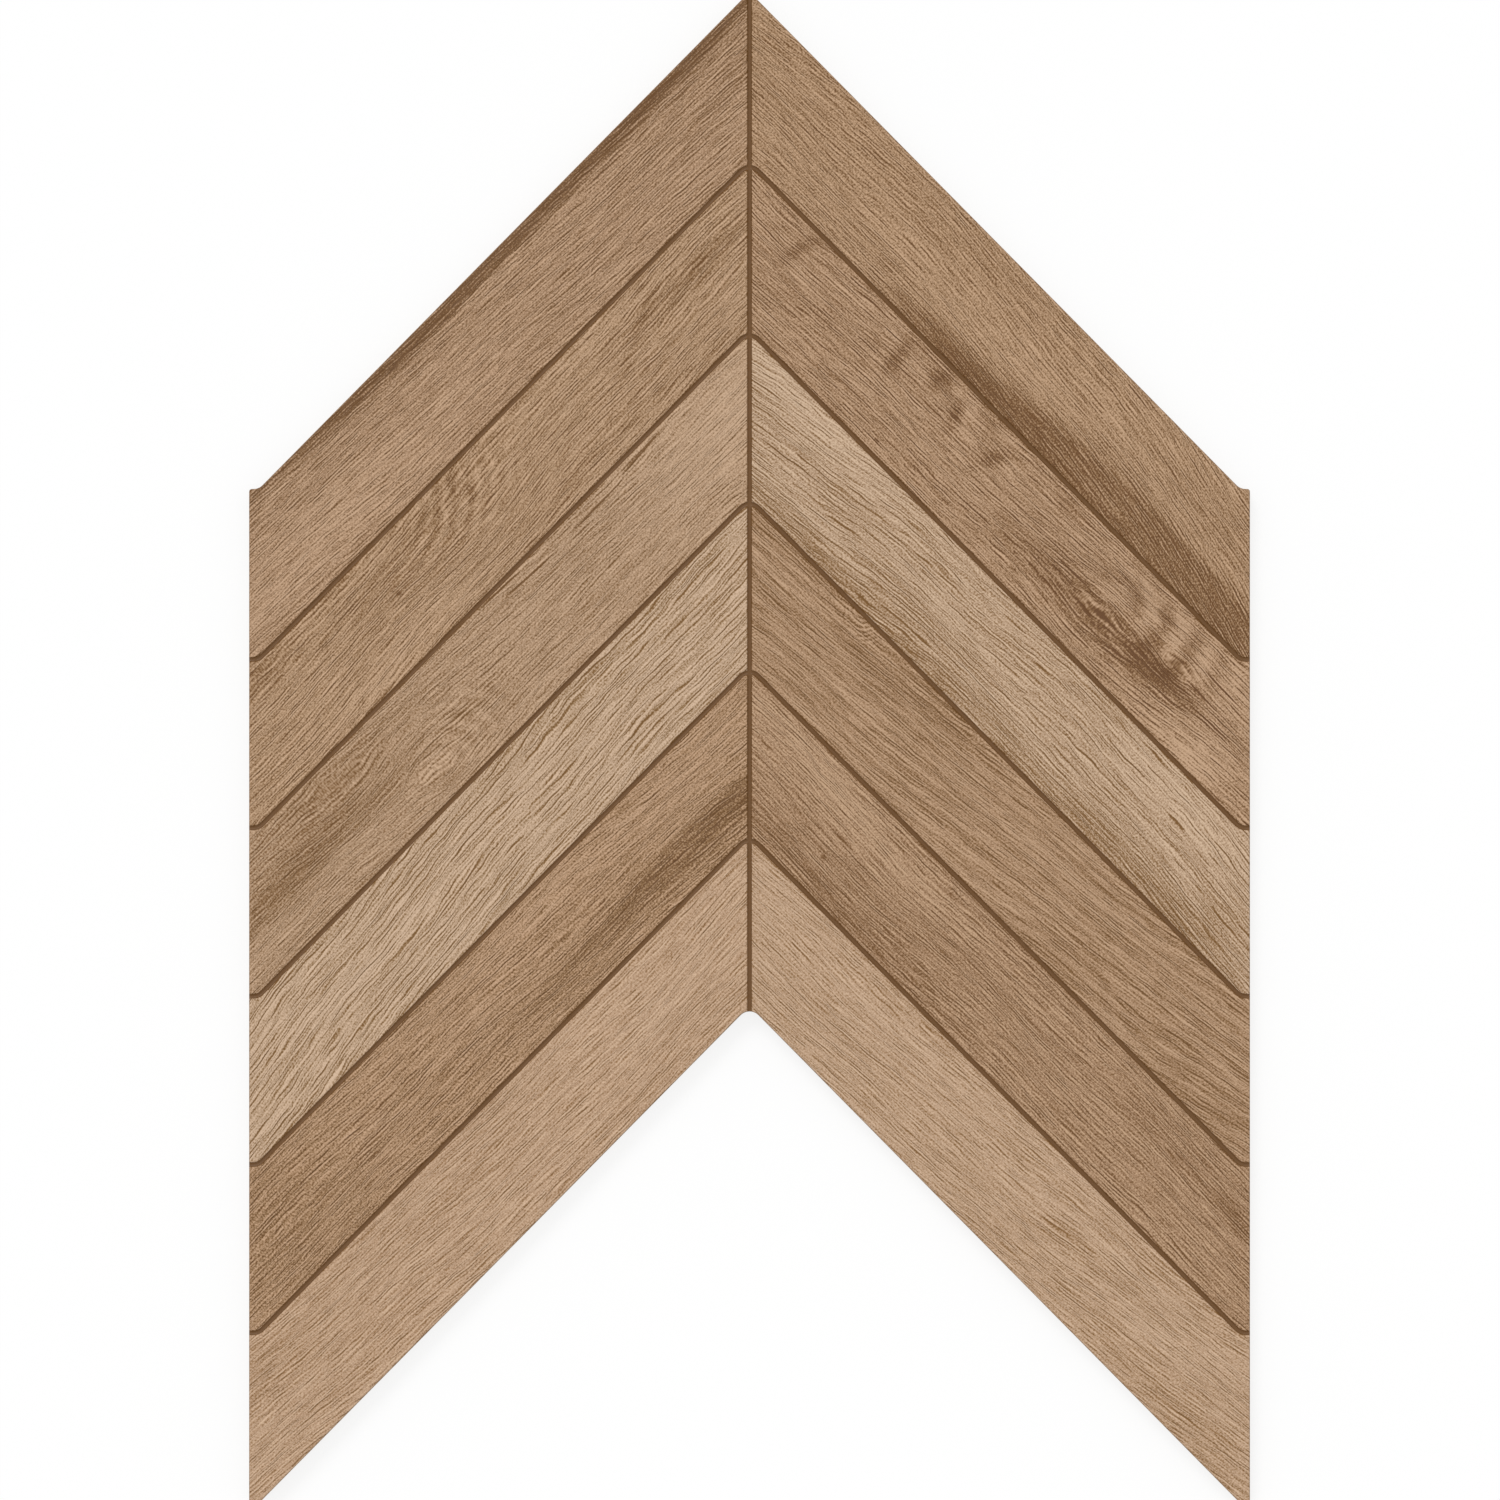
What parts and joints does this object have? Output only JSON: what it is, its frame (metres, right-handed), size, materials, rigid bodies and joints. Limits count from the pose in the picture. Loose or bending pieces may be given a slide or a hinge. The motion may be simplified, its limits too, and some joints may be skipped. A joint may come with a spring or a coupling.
{
  "type": "porcelain floor tile",
  "caption": "Arrow-shaped porcelain floor tile with a wood-grain face, pressed grooves that score it into a chevron of planks, and keying pockets in its back.",
  "frame": {"origin": "middle of the tile's outline box, on the plane of the ribbed back that it rests on", "axes": "+Y from the notch at the foot to the apex at the head, +Z out of the wood-grain face, +X to the right with the face seen from above and the apex away from the viewer"},
  "size_m": [0.44, 0.6622, 0.0095],
  "materials": {
    "glazed_porcelain": "matte"
  },
  "bodies": {
    "root": {"porcelain_tile": "glazed_porcelain"}
  },
  "joints": []
}
